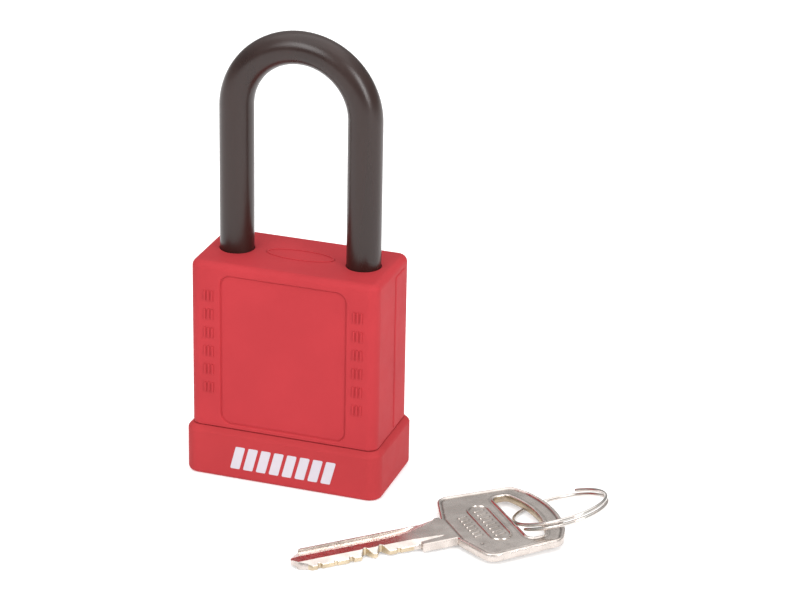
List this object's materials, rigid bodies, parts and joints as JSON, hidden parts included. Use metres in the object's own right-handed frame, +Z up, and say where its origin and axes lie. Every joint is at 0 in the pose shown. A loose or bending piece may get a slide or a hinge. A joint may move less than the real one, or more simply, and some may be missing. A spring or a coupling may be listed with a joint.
{
  "type": "keyed safety lock-out padlock",
  "caption": "Keyed safety padlock: a plastic casing in a softer base collar, a tall sleeved shackle held by ball latches, and a flat key on a split ring lying beside it.",
  "frame": {"origin": "on the surface that the set stands on, under the middle of the lock and its key together; the lock's cylinder axis is at x -23.25 mm, y +15.845 mm", "axes": "+Z up along the cylinder and the shackle's legs, -Y out of the labelled front, +X to the right as seen from the front, on the side of the shackle's short leg"},
  "size_m": [0.0886, 0.0536, 0.0939],
  "materials": {
    "casing": "satin moulded nylon",
    "collar": "soft satin",
    "inner_body": "glass-filled nylon",
    "hardened_steel": "hardened, plain",
    "sleeve": "satin nylon sleeve",
    "spring_steel": "drawn wire",
    "brass": "machined",
    "nickel_plate": "worn nickel plate"
  },
  "bodies": {
    "lock": {"cover_shell": "casing", "base_bumper": "collar", "lock_body": "inner_body", "shackle_retaining_pin": "hardened_steel", "cylinder_housing": "brass", "pin_cover_strip": "brass", "cylinder_screw": "hardened_steel", "shackle_spring": "spring_steel", "driver_pin_1": "brass", "driver_pin_2": "brass", "driver_pin_3": "brass", "driver_pin_4": "brass", "driver_pin_5": "brass", "driver_pin_6": "brass", "pin_spring_1": "spring_steel", "pin_spring_2": "spring_steel", "pin_spring_3": "spring_steel", "pin_spring_4": "spring_steel", "pin_spring_5": "spring_steel", "pin_spring_6": "spring_steel"},
    "plug": {"plug": "brass", "plug_clip": "spring_steel", "locking_cam": "brass", "key_pin_1": "brass", "key_pin_2": "brass", "key_pin_3": "brass", "key_pin_4": "brass", "key_pin_5": "brass", "key_pin_6": "brass"},
    "shackle": {"shackle": "hardened_steel", "shackle_sleeve": "sleeve"},
    "ball_left": {"locking_ball_left": "hardened_steel"},
    "ball_right": {"locking_ball_right": "hardened_steel"},
    "key": {"key": "nickel_plate"},
    "key_ring": {"key_ring": "nickel_plate"}
  },
  "joints": [
    {"name": "plug_turn", "type": "hinge", "parent": "lock", "child": "plug", "pos_m": [-0.02325, 0.01585, 0], "axis": [0, 0, 1], "range_deg": [0, 90]},
    {"name": "shackle_lift", "type": "slide", "parent": "lock", "child": "shackle", "axis": [0, 0, 1], "range_m": [0, 0.012], "deforming": ["shackle_spring"]},
    {"name": "ball_left_slide", "type": "slide", "parent": "lock", "child": "ball_left", "axis": [1, 0, 0], "range_m": [0, 0.00401]},
    {"name": "ball_right_slide", "type": "slide", "parent": "lock", "child": "ball_right", "axis": [-1, 0, 0], "range_m": [0, 0.00401]},
    {"name": "key_lift", "type": "slide", "parent": "lock", "child": "key", "axis": [0, 0, 1], "range_m": [0, 0.06]},
    {"name": "ring_turn", "type": "hinge", "parent": "key", "child": "key_ring", "pos_m": [0.03449, 0.00898, 0.00432], "axis": [-0.3137, 0.1187, 0.9421], "range_deg": [-15, 15]}
  ],
  "couplings": [
    {"joint": "shackle_lift", "follows": "plug_turn", "m_per_rad": 0.0070028},
    {"joint": "ball_left_slide", "follows": "plug_turn", "m_per_rad": 0.0025465},
    {"joint": "ball_right_slide", "follows": "plug_turn", "m_per_rad": 0.0025465}
  ]
}
